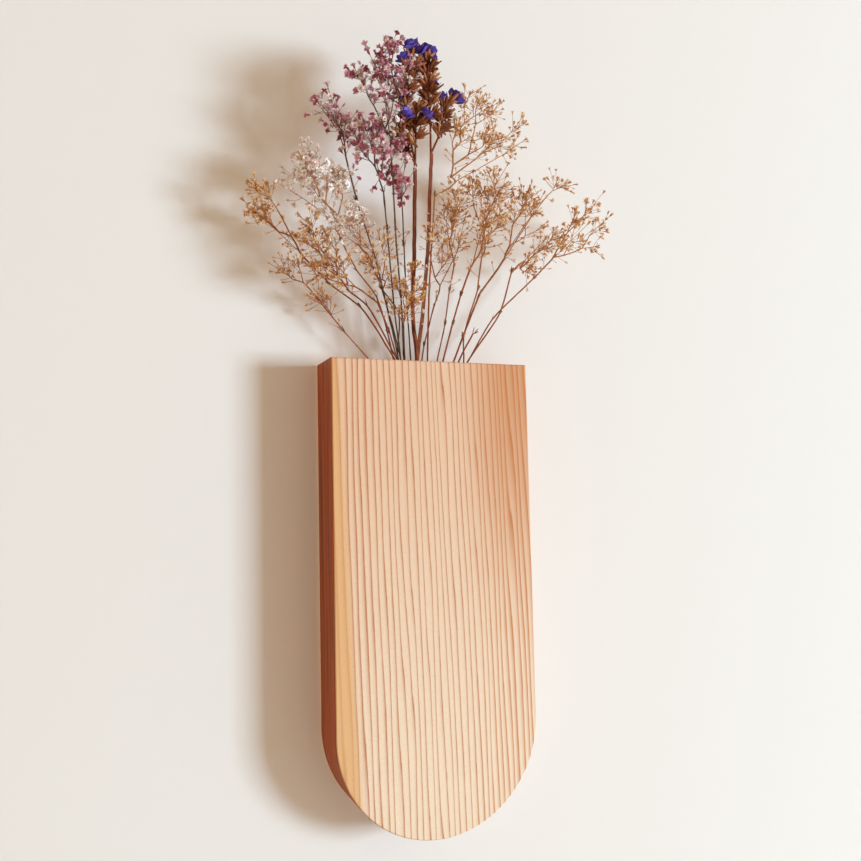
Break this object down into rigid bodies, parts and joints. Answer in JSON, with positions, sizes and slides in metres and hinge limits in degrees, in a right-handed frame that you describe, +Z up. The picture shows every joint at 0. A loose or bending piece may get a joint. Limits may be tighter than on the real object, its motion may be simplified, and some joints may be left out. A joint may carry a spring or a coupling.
{
  "type": "hanging wall vase",
  "caption": "Flat wooden wall vase with a half-round lower end, hung on a plate let into its back, with a lift-out bunch of dried flowers.",
  "frame": {"origin": "centre of the hanging plate's round hole, on the wall plane", "axes": "+Z up, +Y into the wall, the front face looks along -Y, +X to the right seen from the front"},
  "size_m": [0.2171, 0.0601, 0.422],
  "materials": {
    "front_wood": "planed, fine straight grain, thin matt oil",
    "back_wood": "planed, fine straight grain, thin matt oil",
    "plate_steel": "zinc plated, satin",
    "screw_steel": "zinc plated, satin",
    "tan_stem": "dry, dull, red-brown",
    "dark_stem": "dry, dull, grey-brown",
    "statice_stem": "dry, winged, dull red-brown",
    "tan_floret": "papery, dull",
    "white_floret": "papery, dull",
    "pink_floret": "papery, dull",
    "dry_calyx": "papery, dull",
    "violet_petals": "papery, dull"
  },
  "bodies": {
    "vase": {"front_board": "front_wood", "back_board": "back_wood", "hanger_plate": "plate_steel", "hanger_screws": "screw_steel"},
    "bunch": {"petals_statice_short": "violet_petals", "petals_statice_tall": "violet_petals", "spikes_statice_short": "dry_calyx", "spikes_statice_tall": "dry_calyx", "spray_dark_m": "pink_floret", "spray_dark_n": "pink_floret", "spray_dark_o": "pink_floret", "spray_dark_p": "pink_floret", "spray_left_a": "tan_floret", "spray_left_b": "tan_floret", "spray_left_c": "tan_floret", "spray_left_d": "tan_floret", "spray_left_e": "white_floret", "spray_middle_f": "tan_floret", "spray_middle_g": "white_floret", "spray_middle_w": "tan_floret", "spray_right_e": "tan_floret", "spray_right_f": "tan_floret", "spray_right_g": "tan_floret", "spray_right_h": "tan_floret", "spray_right_i": "tan_floret", "spray_right_k": "tan_floret", "spray_right_l": "tan_floret", "spray_upper_u": "tan_floret", "stem_cut_stub": "tan_stem", "stem_dark_m": "dark_stem", "stem_dark_n": "dark_stem", "stem_dark_o": "dark_stem", "stem_dark_p": "dark_stem", "stem_left_a": "tan_stem", "stem_left_b": "tan_stem", "stem_left_c": "tan_stem", "stem_left_d": "tan_stem", "stem_left_e": "tan_stem", "stem_middle_f": "dark_stem", "stem_middle_g": "dark_stem", "stem_middle_w": "dark_stem", "stem_right_e": "tan_stem", "stem_right_f": "tan_stem", "stem_right_g": "tan_stem", "stem_right_h": "tan_stem", "stem_right_i": "tan_stem", "stem_right_k": "tan_stem", "stem_right_l": "tan_stem", "stem_statice_short": "statice_stem", "stem_statice_tall": "statice_stem", "stem_upper_u": "tan_stem"}
  },
  "joints": [
    {"name": "bunch_lift", "type": "slide", "parent": "vase", "child": "bunch", "axis": [0, 0, 1], "range_m": [0, 0.155]}
  ]
}
